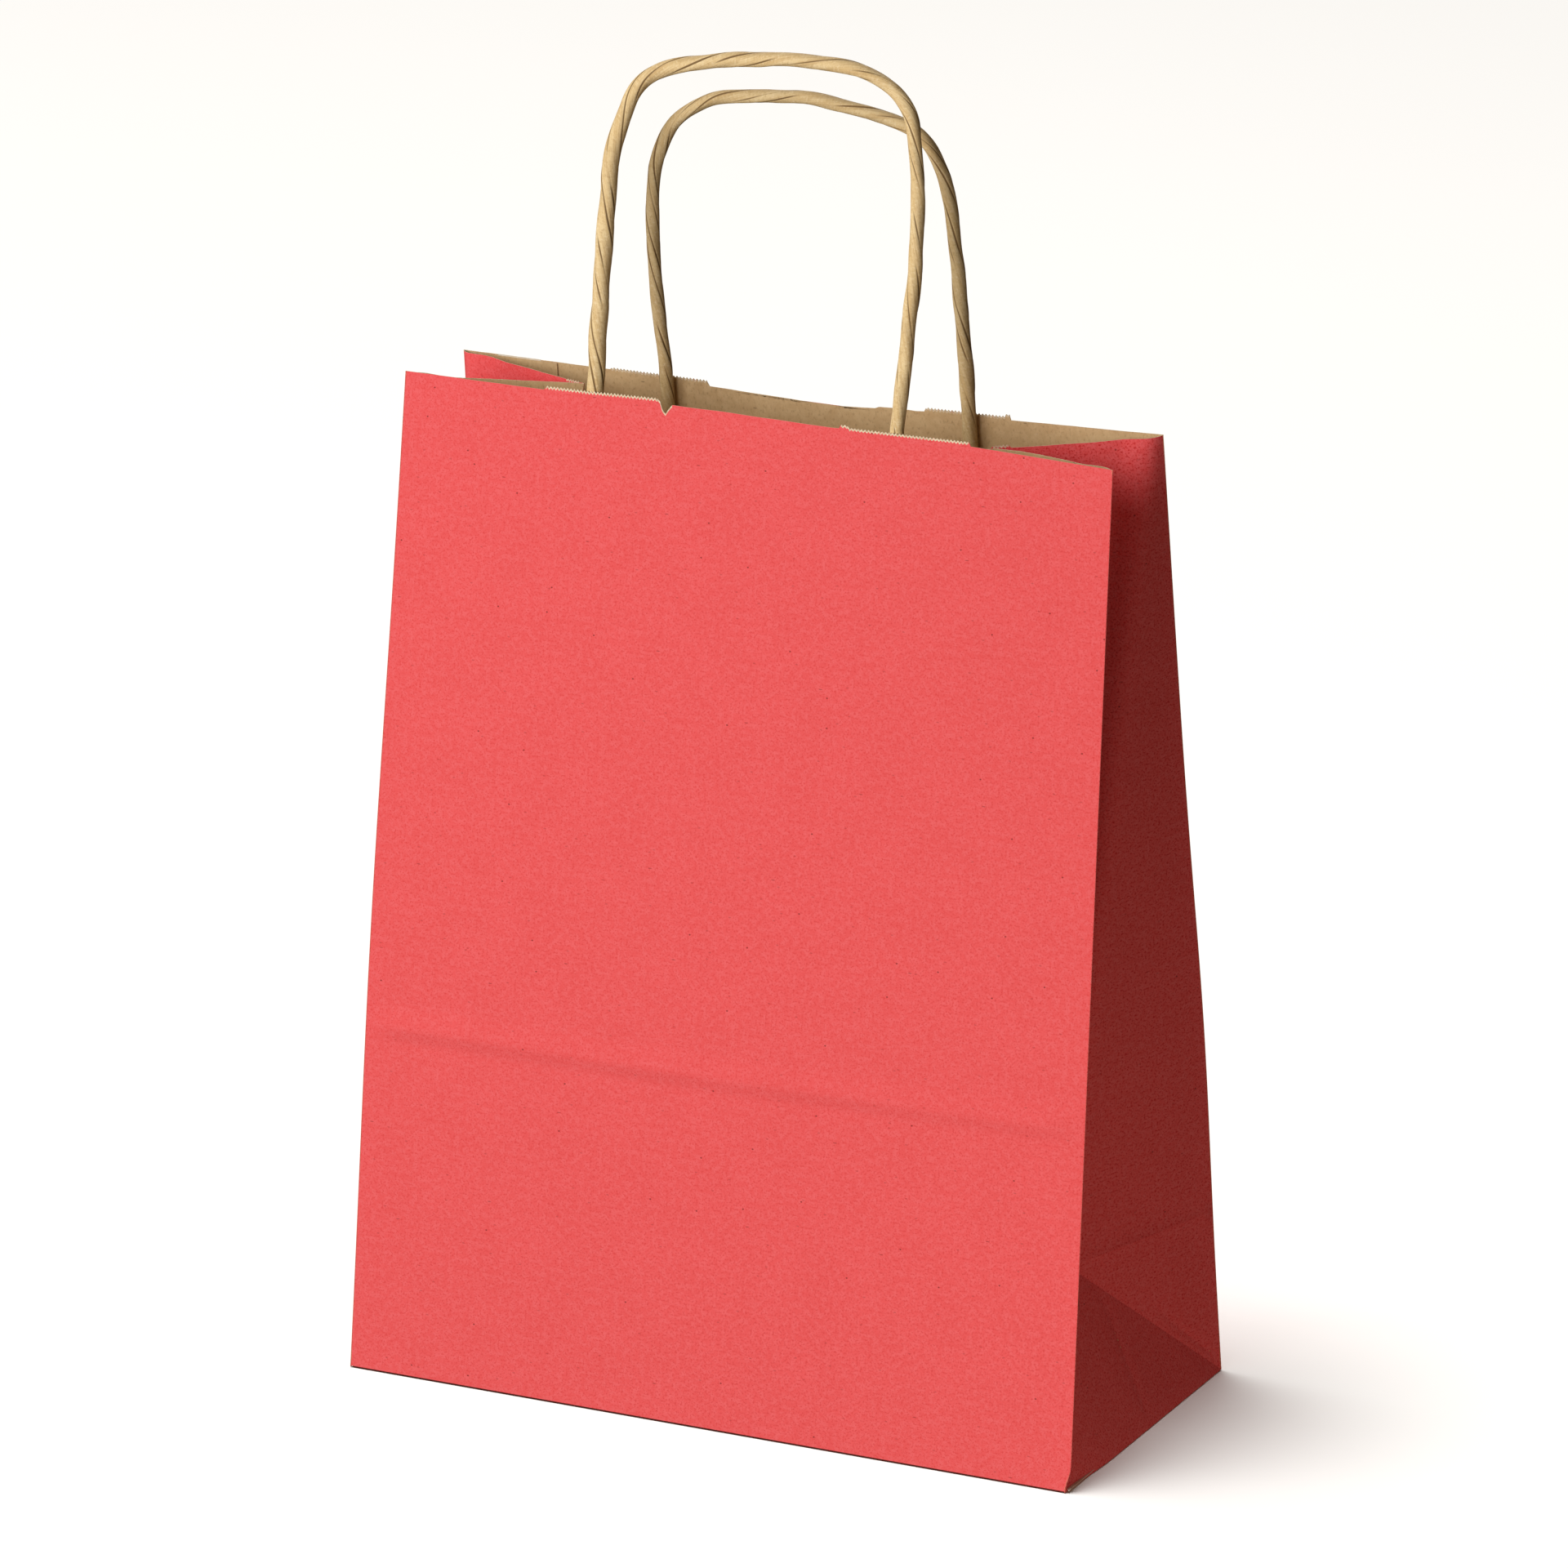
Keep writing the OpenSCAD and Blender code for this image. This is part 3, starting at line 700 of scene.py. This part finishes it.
def build_cord(name, outline, wall, radii, seed, material):
    """A tube of twisted paper. Its helical creases are edges of the rolled strip, each a step."""
    path, at = handle_path(outline, wall)
    free = smooth((at - PASTED_LENGTH) / 8) * smooth((at[-1] - at - PASTED_LENGTH) / 8)
    aside, rise = (noise_along(at, 13.0, 5.1 * seed + k, 1.7 * seed) for k in (0, 40))
    path[:, 0] += WOBBLE * aside * free
    path[:, 2] += WOBBLE * rise * free * np.abs(np.gradient(path[:, 0]) / CORD_STEP)
    tangent = unit(np.gradient(path, axis=0))
    across = unit(np.cross(tangent, np.array([0.0, 1.0, 0.0])))
    depth = np.cross(across, tangent)
    theta = np.linspace(0, 2 * math.pi, CORD_SIDES, endpoint=False)
    share = at / at[-1]
    base = np.interp(share, np.linspace(0, 1, len(radii)), radii)
    base = base * (1 + 0.035 * noise_along(at, 9.0, 2.3 * seed, 0))
    pitch_noise = 5.0 * noise_along(at, 60.0, 9.9 * seed, 4.0)
    phase = theta[None] - 2 * math.pi * (at + pitch_noise)[:, None] / TWIST_PITCH
    radius = base[:, None] * (1 + 0.035 * np.cos(2 * (phase - 0.7)) + 0.02 * np.cos(3 * phase))
    groove_shade = np.zeros_like(radius)
    for k, start in enumerate(TWIST_STARTS):
        depth_k = 0.53 + 1.7 * noise_along(at, 16.0, 31.0 * seed + 7 * k, 2.0)
        depth_k = np.clip(depth_k, 0.0, 1.1)[:, None]
        turn_to = (phase - start + math.pi) % (2 * math.pi) - math.pi
        line = np.exp(-((turn_to / CREASE_WIDTH) ** 2))
        step = np.where(turn_to > 0, np.exp(-turn_to / 0.8), 0.0)
        radius += base[:, None] * depth_k * (STEP_HEIGHT * step - CREASE_DEPTH * line)
        # the crease lines, which the cord's material darkens as painted shade
        groove_shade = np.maximum(groove_shade, line * depth_k)
    u, v = 1.5 * np.cos(phase[:, ::3]) + 11 * seed, 1.5 * np.sin(phase[:, ::3])
    soft = np.array([
        [noise.noise(Vector((*place, a / 14.0))) for place in zip(*row)]
        for *row, a in zip(u, v, at)
    ])
    every, third = np.arange(CORD_SIDES), np.arange(0, CORD_SIDES + 3, 3)
    soft = np.stack([np.interp(every, third, np.append(row, row[0])) for row in soft])
    radius *= 1 + 0.055 * soft
    radius[[0, -1]] *= 0.55
    ring = (
        path[:, None, :]
        + (radius * np.cos(theta))[..., None] * across[:, None, :]
        + (radius * np.sin(theta))[..., None] * depth[:, None, :]
    )
    n = len(path)
    points = list(ring.reshape(-1, 3)) + [path[0], path[-1]]
    faces = []
    for r in range(n - 1):
        for c in range(CORD_SIDES):
            d = (c + 1) % CORD_SIDES
            here, above = r * CORD_SIDES, (r + 1) * CORD_SIDES
            faces.append([here + c, here + d, above + d, above + c])
    for c in range(CORD_SIDES):
        d = (c + 1) % CORD_SIDES
        faces.append([n * CORD_SIDES, d, c])
        faces.append([n * CORD_SIDES + 1, (n - 1) * CORD_SIDES + c, (n - 1) * CORD_SIDES + d])
    obj = mesh_object(name, points, faces, [material], [0] * len(faces), smooth_angle=70)
    along = np.repeat(at[:, None] / 40, CORD_SIDES, 1)
    twist = np.stack([np.cos(phase), np.sin(phase), along], -1).reshape(-1, 3)
    twist = np.vstack([twist, twist[:1], twist[-1:]]).astype(np.float32).ravel()
    shade = np.concatenate([groove_shade.ravel(), [0, 0]]).astype(np.float32)
    obj.data.attributes.new("twist", "FLOAT_VECTOR", "POINT").data.foreach_set("vector", twist)
    obj.data.attributes.new("groove_shade", "FLOAT", "POINT").data.foreach_set("value", shade)
    return obj


# ---------------------------------------------------------------- materials

class Nodes:
    """A short way to write a node tree."""

    def __init__(self, name):
        self.material = bpy.data.materials.new(name)
        self.material.use_nodes = True
        self.tree = self.material.node_tree
        self.tree.nodes.clear()

    def add(self, kind, settings=None, **inputs):
        node = self.tree.nodes.new(kind)
        for key, value in (settings or {}).items():
            setattr(node, key, value)
        for key, value in inputs.items():
            numbered = key[0] == "i" and key[1:].isdigit()
            self.feed(node.inputs[int(key[1:]) if numbered else key], value)
        return node

    def feed(self, socket, value):
        if isinstance(value, bpy.types.NodeSocket):
            self.tree.links.new(value, socket)
        else:
            socket.default_value = value

    def noise(self, vector, scale, detail=3.0, rough=0.55, distortion=0.0):
        node = self.add(
            "ShaderNodeTexNoise", None, Vector=vector, Scale=scale, Detail=detail,
            Roughness=rough, Distortion=distortion,
        )
        return node.outputs["Fac"]

    def math(self, operation, a, b):
        return self.add("ShaderNodeMath", {"operation": operation}, i0=a, i1=b).outputs[0]

    def span(self, value, low, high, to_low=0.0, to_high=1.0):
        node = self.add("ShaderNodeMapRange", {"interpolation_type": "SMOOTHSTEP"}, Value=value)
        ends = {"From Min": low, "From Max": high, "To Min": to_low, "To Max": to_high}
        for key, number in ends.items():
            node.inputs[key].default_value = number
        return node.outputs[0]

    def mix(self, fac, a, b):
        return self.add("ShaderNodeMix", {"data_type": "RGBA"}, i0=fac, i6=a, i7=b).outputs[2]

    def scaled(self, vector, x, y, z, rotation=0.0):
        node = self.add("ShaderNodeMapping", None, Vector=vector)
        node.inputs["Scale"].default_value = (x, y, z)
        node.inputs["Rotation"].default_value = (0, 0, rotation)
        return node.outputs[0]

    def bump(self, height, strength, distance, normal=None):
        node = self.add("ShaderNodeBump", None, Height=height, Strength=strength, Distance=distance)
        if normal is not None:
            self.feed(node.inputs["Normal"], normal)
        return node.outputs[0]

    def finish(self, color, roughness, normal, specular):
        out = self.add("ShaderNodeOutputMaterial")
        bsdf = self.add("ShaderNodeBsdfPrincipled")
        self.feed(bsdf.inputs["Base Color"], color)
        self.feed(bsdf.inputs["Roughness"], roughness)
        if normal is not None:
            self.feed(bsdf.inputs["Normal"], normal)
        self.feed(bsdf.inputs["Specular IOR Level"], specular)
        self.tree.links.new(bsdf.outputs[0], out.inputs[0])
        return self.material


def rgb(r, g, b, tone=1.0):
    return (tone * r, tone * g, tone * b, 1.0)


def paper_coordinates(n, on_sheet=True):
    """Paper lengths in metres: the sheet's own flat coordinates, or the CAD node's place."""
    if on_sheet:
        return n.add("ShaderNodeUVMap", {"uv_map": "paper"}).outputs[0]
    return n.add("ShaderNodeTexCoord").outputs["Object"]


def fibre_specks(n, where, scale, stretch, rotation, size, keep):
    """Sparse short fibres: a few cells of a Voronoi pattern hold one each."""
    place = n.scaled(where, stretch, 1.0, 1.0, rotation)
    cells = n.add("ShaderNodeTexVoronoi", {"voronoi_dimensions": "2D"}, Vector=place, Scale=scale)
    near = n.span(cells.outputs["Distance"], size, size * 0.45)
    chosen = n.add("ShaderNodeSeparateColor", None, Color=cells.outputs["Color"]).outputs[0]
    return n.math("MULTIPLY", near, n.math("LESS_THAN", chosen, keep))


PRINT_RED = np.array([0.793, 0.097, 0.098])
PRINT_THIN = np.array([0.842, 0.157, 0.165])  # where the pulp shows pale through the print
PRINT_THICK = np.array([0.694, 0.061, 0.060])  # where it shows dark


def red_paper(name="red_paper_outside", pulp=1.0):
    """Kraft paper printed coral red, matt, with dark fibre specks. pulp scales its mottling; above 1
    the extra mottling is painted shade of the paper's relief.
    """
    thin = PRINT_RED + min(pulp, 1.2) * (PRINT_THIN - PRINT_RED)
    thick = np.maximum(PRINT_RED + pulp * (PRINT_THICK - PRINT_RED), 0.012)
    n = Nodes(name)
    where = paper_coordinates(n)
    cloud = n.noise(where, 70, 2, 0.5)
    mottle = n.noise(where, 520, 3, 0.6)
    grain = n.noise(where, 1500, 3, 0.65)
    tooth = n.noise(where, 2800, 2, 0.6)
    low, high = rgb(0.783, 0.094, 0.095), rgb(0.803, 0.100, 0.102)
    color = n.mix(n.span(cloud, 0.3, 0.7), low, high)
    color = n.mix(n.span(mottle, 0.38, 0.66, 0.0, 0.45), color, rgb(*thin))
    color = n.mix(n.span(grain, 0.30, 0.53, 0.95, 0.0), color, rgb(*thick))
    fine = fibre_specks(n, where, 210, 0.45, 0.6, 0.055, 0.25)
    long = fibre_specks(n, where, 95, 0.25, -0.5, 0.020, 0.20)
    dots = fibre_specks(n, where, 75, 0.8, 0.1, 0.024, 0.25)
    faint = n.math("MAXIMUM", n.math("MULTIPLY", fine, 0.35), n.math("MULTIPLY", long, 0.6))
    specks = n.math("MAXIMUM", faint, n.math("MULTIPLY", dots, 0.9))
    color = n.mix(specks, color, rgb(0.26, 0.032, 0.027))
    normal = n.bump(grain, 0.22, 0.0001)
    normal = n.bump(tooth, 0.20, 0.00005, normal)
    return n.finish(color, n.span(mottle, 0.3, 0.7, 0.76, 0.86), normal, 0.10)


def kraft_paper(name="kraft_paper_inside", on_sheet=True, tone=1.0):
    """Unprinted brown kraft, with cloudy pulp and light and dark fibres."""
    n = Nodes(name)
    where = paper_coordinates(n, on_sheet)
    cloud = n.noise(where, 55, 3, 0.6)
    mottle = n.noise(where, 330, 4, 0.65)
    grain = n.noise(n.scaled(where, 1.0, 0.5, 1.0), 1300, 3, 0.6)
    low, high = rgb(0.565, 0.372, 0.190, tone), rgb(0.635, 0.432, 0.227, tone)
    color = n.mix(n.span(cloud, 0.3, 0.7), low, high)
    color = n.mix(n.span(mottle, 0.36, 0.68, 0.0, 0.6), color, rgb(0.70, 0.50, 0.278, tone))
    color = n.mix(n.span(grain, 0.28, 0.48, 0.6, 0.0), color, rgb(0.40, 0.245, 0.115, tone))
    dark = fibre_specks(n, where, 170, 0.3, 0.4, 0.045, 0.35)
    pale = fibre_specks(n, where, 190, 0.25, -0.8, 0.045, 0.35)
    color = n.mix(n.math("MULTIPLY", dark, 0.55), color, rgb(0.17, 0.095, 0.045))
    color = n.mix(n.math("MULTIPLY", pale, 0.35), color, rgb(0.72, 0.56, 0.36))
    normal = n.bump(grain, 0.30, 0.00012)
    return n.finish(color, n.span(mottle, 0.3, 0.7, 0.78, 0.88), normal, 0.12)


def cut_edge():
    """Torn and cut fibres along an edge: pale pulp with brown and red bits."""
    n = Nodes("cut_paper_edge")
    where = paper_coordinates(n)
    bits = n.noise(where, 1500, 3, 0.7)
    patch = n.noise(where, 420, 2, 0.6)
    color = n.mix(n.span(bits, 0.35, 0.65), rgb(0.84, 0.70, 0.50), rgb(0.56, 0.41, 0.26))
    color = n.mix(n.span(patch, 0.55, 0.75, 0.0, 0.6), color, rgb(0.74, 0.28, 0.22))
    return n.finish(color, 0.9, n.bump(bits, 0.5, 0.0001), 0.15)


def cord_paper(name="twisted_cord_paper", tone=1.0):
    """Tan kraft twisted into a cord: streaks along the twist, painted shade in its creases, pale
    worn ridges.
    """
    n = Nodes(name)
    twist = n.add("ShaderNodeAttribute", {"attribute_name": "twist"}).outputs["Vector"]
    groove_shade = n.add("ShaderNodeAttribute", {"attribute_name": "groove_shade"}).outputs["Fac"]
    place = n.add("ShaderNodeTexCoord").outputs["Object"]
    broad = n.noise(n.scaled(twist, 1.0, 1.0, 1.6), 1.4, 3, 0.6)
    streak = n.noise(n.scaled(twist, 1.0, 1.0, 0.55), 7.5, 4, 0.6)
    fibre = n.noise(n.scaled(twist, 1.0, 1.0, 0.5), 26, 3, 0.6)
    pulp = n.noise(place, 900, 3, 0.6)
    weave = n.noise(n.scaled(twist, 0.3, 0.3, 8.0), 6.5, 3, 0.65)
    low, high = rgb(0.70, 0.485, 0.225, tone), rgb(0.83, 0.625, 0.335, tone)
    color = n.mix(n.span(broad, 0.32, 0.68), low, high)
    color = n.mix(n.span(streak, 0.30, 0.56, 0.65, 0.0), color, rgb(0.55, 0.345, 0.150, tone))
    color = n.mix(n.span(fibre, 0.52, 0.75, 0.0, 0.35), color, rgb(0.92, 0.74, 0.48, tone))
    color = n.mix(n.span(pulp, 0.55, 0.75, 0.0, 0.35), color, rgb(0.58, 0.38, 0.18, tone))
    color = n.mix(n.span(weave, 0.30, 0.47, 0.50, 0.0), color, rgb(0.52, 0.33, 0.145, tone))
    color = n.mix(n.span(weave, 0.53, 0.70, 0.0, 0.45), color, rgb(0.93, 0.76, 0.50, tone))
    # painted shade: the creases are darkened to a near black brown
    color = n.mix(n.span(groove_shade, 0.07, 0.50, 0.0, 0.95), color, rgb(0.190, 0.105, 0.038))
    normal = n.bump(streak, 0.35, 0.00030)
    normal = n.bump(fibre, 0.30, 0.00012, normal)
    normal = n.bump(pulp, 0.25, 0.00008, normal)
    normal = n.bump(weave, 0.30, 0.00010, normal)
    return n.finish(color, n.span(streak, 0.3, 0.7, 0.66, 0.82), normal, 0.18)


def dry_paste():
    """Dried starch paste: a thin, slightly glossy off-white film with swirls."""
    n = Nodes("dry_paste_film")
    where = n.add("ShaderNodeTexCoord").outputs["Object"]
    swirl = n.noise(where, 120, 4, 0.6, 1.2)
    color = n.mix(n.span(swirl, 0.3, 0.7), rgb(0.80, 0.76, 0.66), rgb(0.68, 0.58, 0.43))
    return n.finish(color, n.span(swirl, 0.3, 0.7, 0.35, 0.6), n.bump(swirl, 0.3, 0.0002), 0.4)


def floor_paper():
    n = Nodes("studio_floor")
    where = n.add("ShaderNodeTexCoord").outputs["Object"]
    color = n.mix(n.noise(where, 3, 2), rgb(0.87, 0.845, 0.815), rgb(0.88, 0.855, 0.825))
    return n.finish(color, 0.9, None, 0.0)


# ---------------------------------------------------------------- build

RED, KRAFT, EDGE, CORD = red_paper(), kraft_paper(), cut_edge(), cord_paper()
# Painted shade: the back cord is drawn in a darker copy of the same cord paper.
CORD_BEHIND_SHADED = cord_paper("twisted_cord_paper_back_shaded", 0.84)  # the back cord looks darker in the photo
KRAFT_PLAIN = kraft_paper("kraft_paper_patch", True, 0.94)
SHEET_MATERIALS = [RED, KRAFT, EDGE]
# Painted shade: the right side's mottling is drawn stronger, in place of the paper relief that
# grazing light shows there.
SHADE_MATERIALS = [red_paper("red_paper_right_painted_relief", 2.4), KRAFT, EDGE]
LINER_MATERIALS = [KRAFT_PLAIN, KRAFT_PLAIN, EDGE]


def place(obj, body, slot, *nodes):
    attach(obj, body)
    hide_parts(*nodes)


def build_walls():
    front = build_wall(-1, FRONT_EDGE, FRONT_TEETH, TORN_SPANS, SHEET_MATERIALS)
    place(front, "front_wall", "red_paper", "front_panel")
    back = build_wall(1, BACK_EDGE, BACK_TEETH, [], SHEET_MATERIALS)
    place(back, "back_wall", "red_paper", "back_panel")
    lap = build_seam_lap(SHEET_MATERIALS)
    place(lap, "back_wall", "kraft_paper", "seam_lap")


def build_gussets():
    for right, papers in ((1, SHADE_MATERIALS), (-1, SHEET_MATERIALS)):
        for wall in (-1, 1):
            obj, name, start, end = build_gusset(right, wall, papers)
            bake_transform(obj)
            side, face = name.split("_")
            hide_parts(f"{side}_gusset_{face}_lower", f"{side}_gusset_{face}_upper")
            strip, name, ends = build_corner_strip(right, wall, [KRAFT, KRAFT, EDGE])
            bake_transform(strip)
        foot = build_base_triangle(right, papers)
        side = SIDE[right]
        place(foot, side + "_base_fold", "red_paper", side + "_base_triangle")


def build_bottom():
    back = build_flap("bottom_back_sheet", 1, BACK_FLAP_Z, SHEET_MATERIALS, 41)
    place(back, "base", "red_paper", "bottom_back_flap")
    front = build_flap("bottom_front_sheet", -1, FRONT_FLAP_Z, SHEET_MATERIALS, 42)
    place(front, "base", "red_paper", "bottom_front_flap")
    for right, side in SIDE.items():
        tuck = build_tuck(right, TUCK_Z, SHEET_MATERIALS)
        place(tuck, "base", "kraft_paper", side + "_bottom_tuck")


FRONT_RADII = (2.35, 2.62, 2.4, 2.1, 2.05, 2.15, 2.2)  # evenly spaced along the whole cord
BACK_RADII = (2.0, 2.0, 2.0, 1.95, 2.0, 2.2, 2.2)


def build_handles():
    cords = ((-1, FRONT_LOOP, FRONT_RADII, 1, CORD), (1, BACK_LOOP, BACK_RADII, 2, CORD_BEHIND_SHADED))
    for wall, outline, radii, seed, paper in cords:
        face = FACE[wall]
        legs = (outline[0][0], outline[-1][0])
        cord = build_cord(face + "_cord", outline, wall, radii, seed, paper)
        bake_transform(cord)
        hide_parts(face + "_cord_ends", face + "_handle_cord")
        cover = build_patch_cover(wall, legs, LINER_MATERIALS)
        place(cover, face + "_wall", "kraft_paper", face + "_patch_cover")


def finish_cad_nodes():
    """Materials of the CAD nodes that stay as they are."""
    paste, kraft = dry_paste(), kraft_paper("kraft_paper_backing", False, 0.94)
    for name, node in frame["nodes"].items():
        if node.hide_render:
            continue
        node.data.materials.clear()
        node.data.materials.append(paste if "paste" in name else kraft)


# ---------------------------------------------------------------- floor, light, camera

def build_floor():
    bpy.ops.mesh.primitive_circle_add(
        vertices=96, radius=7.0, fill_type="NGON", location=(0, 0, -0.0003)
    )
    floor = bpy.context.object
    floor.name = "studio_floor"
    floor.data.materials.append(floor_paper())
    floor.visible_diffuse = False
    floor.visible_glossy = False
    floor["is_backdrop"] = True
    return floor


def on_sphere(azimuth, elevation, distance, centre):
    """A place seen from the front at azimuth 0, from the right at 90."""
    a, e = math.radians(azimuth), math.radians(elevation)
    out = Vector((math.sin(a) * math.cos(e), -math.cos(a) * math.cos(e), math.sin(e)))
    return Vector(centre) + out * distance


def area_light(name, azimuth, elevation, distance, size, power, color, only, aim_z=0.16):
    """A round lamp that lights only one collection, aimed at the bag's middle axis."""
    data = bpy.data.lights.new(name, "AREA")
    data.shape, data.size, data.energy, data.color = "DISK", size, power, color
    lamp = bpy.data.objects.new(name, data)
    lamp.visible_camera = False
    bpy.context.scene.collection.objects.link(lamp)
    target = Vector((0, 0, aim_z))
    lamp.location = on_sphere(azimuth, elevation, distance, target)
    lamp.rotation_euler = (target - lamp.location).to_track_quat("-Z", "Y").to_euler()
    lamp.light_linking.receiver_collection = only
    return lamp


def build_lights(floor):
    """Key from the front left, two weak fills, and an overhead light for the floor's shadow."""
    bag_only = bpy.data.collections.new("lit_bag")
    floor_only = bpy.data.collections.new("lit_floor")
    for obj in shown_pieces():
        bag_only.objects.link(obj)
    floor_only.objects.link(floor)
    area_light(
        "key", azimuth=-21, elevation=20, distance=1.7, size=1.6, power=34.0,
        color=(1.0, 1.0, 0.995), only=bag_only,
    )
    area_light(
        "back_fill", azimuth=205, elevation=35, distance=2.8, size=1.4, power=42,
        color=(1.0, 0.98, 0.96), only=bag_only,
    )
    side = area_light(
        "side_fill", azimuth=57, elevation=-12, distance=0.45, size=0.3, power=0.31,
        color=(1.0, 0.86, 0.70), only=bag_only, aim_z=0.05,
    )
    side.light_linking.blocker_collection = bag_only
    area_light(
        "floor_light", azimuth=-52, elevation=80.5, distance=6.0, size=2.9, power=480,
        color=(0.985, 1.0, 1.01), only=floor_only,
    )
    world = bpy.data.worlds.new("studio")
    bpy.context.scene.world = world
    world.use_nodes = True
    background = world.node_tree.nodes["Background"]
    background.inputs[0].default_value = (1.0, 0.86, 0.68, 1)
    background.inputs[1].default_value = 0.10


def build_camera():
    azimuth, elevation, roll = 25.83, 18.89, -0.35
    distance, focal_px, frame_px = 3.426, 13963.0, 1920.0
    data = bpy.data.cameras.new("camera")
    data.sensor_width = 36.0
    data.lens = focal_px / frame_px * data.sensor_width
    data.clip_start, data.clip_end = 0.05, 50
    camera = bpy.data.objects.new("camera", data)
    bpy.context.scene.collection.objects.link(camera)
    target = Vector((0.00035, 0, 0.18882))
    place_at = on_sphere(azimuth, elevation, distance, target)
    back = (place_at - target).normalized()
    right = Vector((0, 0, 1)).cross(back).normalized()
    up = back.cross(right)
    c, s = math.cos(math.radians(roll)), math.sin(math.radians(roll))
    right, up = right * c + up * s, up * c - right * s
    axes = Matrix((right, up, back)).transposed().to_4x4()
    camera.matrix_world = Matrix.Translation(place_at) @ axes
    bpy.context.scene.camera = camera


def main():
    build_walls()
    build_gussets()
    build_bottom()
    build_handles()
    finish_cad_nodes()
    floor = build_floor()
    build_lights(floor)
    build_camera()
    bpy.context.scene.view_settings.view_transform = "Standard"
    bpy.context.view_layer.update()


main()
